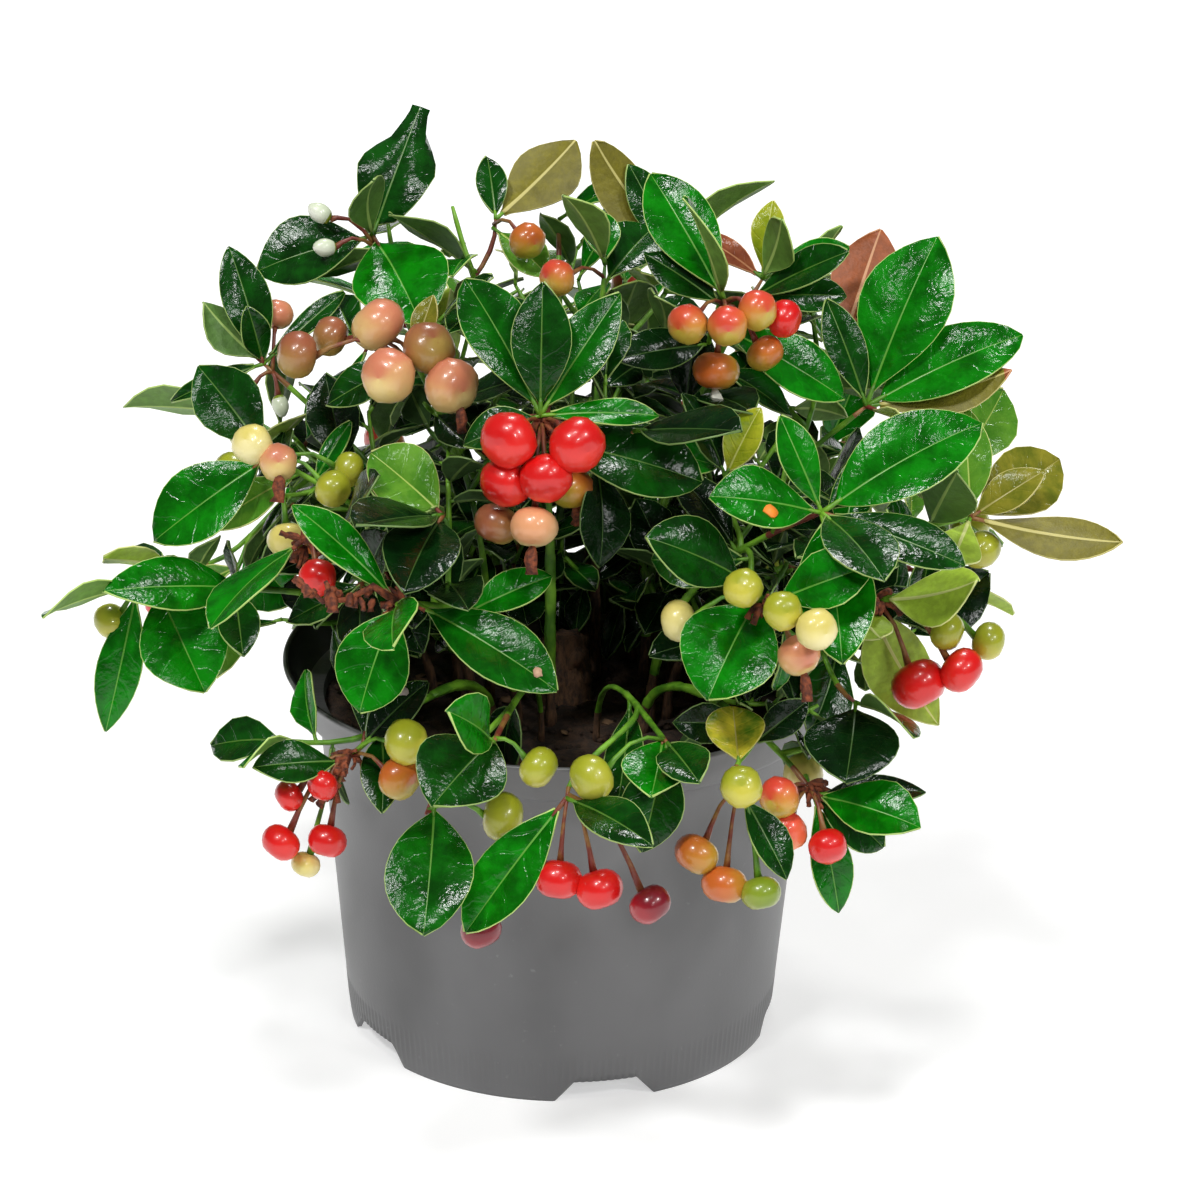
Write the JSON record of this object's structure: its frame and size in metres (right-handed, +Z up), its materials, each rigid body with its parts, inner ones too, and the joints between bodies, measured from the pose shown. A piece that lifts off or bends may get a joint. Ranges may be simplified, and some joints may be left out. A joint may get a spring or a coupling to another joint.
{
  "type": "potted gaultheria",
  "caption": "Low evergreen gaultheria shrub with glossy oval leaves and red and unripe berries, standing in its round grey nursery pot.",
  "frame": {"origin": "middle of the pot's flat underside, on the pot's axis", "axes": "+Z up, the plant's front faces -Y, +X to the right seen from the front"},
  "size_m": [0.2419, 0.224, 0.2043],
  "materials": {
    "pot": "satin moulded grey plastic",
    "peat": "loose dark peat",
    "crown_wood": "rough bark",
    "stem_wood": "smooth green and reddish bark",
    "foliage": "glossy leaves with satin berries"
  },
  "bodies": {
    "root": {"crown": "crown_wood", "leaves_back_far_right": "foliage", "leaves_back_high": "foliage", "leaves_back_left": "foliage", "leaves_back_left_high": "foliage", "leaves_back_left_low": "foliage", "leaves_back_low": "foliage", "leaves_back_right": "foliage", "leaves_back_right_high": "foliage", "leaves_centre": "foliage", "leaves_far_left": "foliage", "leaves_far_right": "foliage", "leaves_front_left": "foliage", "leaves_front_right": "foliage", "leaves_knee_left": "foliage", "leaves_left_high": "foliage", "leaves_left_low": "foliage", "leaves_left_middle": "foliage", "leaves_right_high": "foliage", "leaves_right_low": "foliage", "leaves_right_middle": "foliage", "leaves_right_skirt": "foliage", "leaves_shoulder_right": "foliage", "leaves_skirt_left": "foliage", "leaves_skirt_right": "foliage", "leaves_top_back": "foliage", "leaves_top_left": "foliage", "leaves_top_middle": "foliage", "leaves_upper_left": "foliage", "pot": "pot", "root_ball": "peat", "stem_back_far_right": "stem_wood", "stem_back_high": "stem_wood", "stem_back_left": "stem_wood", "stem_back_left_high": "stem_wood", "stem_back_left_low": "stem_wood", "stem_back_low": "stem_wood", "stem_back_right": "stem_wood", "stem_back_right_high": "stem_wood", "stem_centre": "stem_wood", "stem_far_left": "stem_wood", "stem_far_right": "stem_wood", "stem_front_left": "stem_wood", "stem_front_right": "stem_wood", "stem_knee_left": "stem_wood", "stem_left_high": "stem_wood", "stem_left_low": "stem_wood", "stem_left_middle": "stem_wood", "stem_right_high": "stem_wood", "stem_right_low": "stem_wood", "stem_right_middle": "stem_wood", "stem_right_skirt": "stem_wood", "stem_shoulder_right": "stem_wood", "stem_skirt_left": "stem_wood", "stem_skirt_right": "stem_wood", "stem_top_back": "stem_wood", "stem_top_left": "stem_wood", "stem_top_middle": "stem_wood", "stem_upper_left": "stem_wood"}
  },
  "joints": []
}
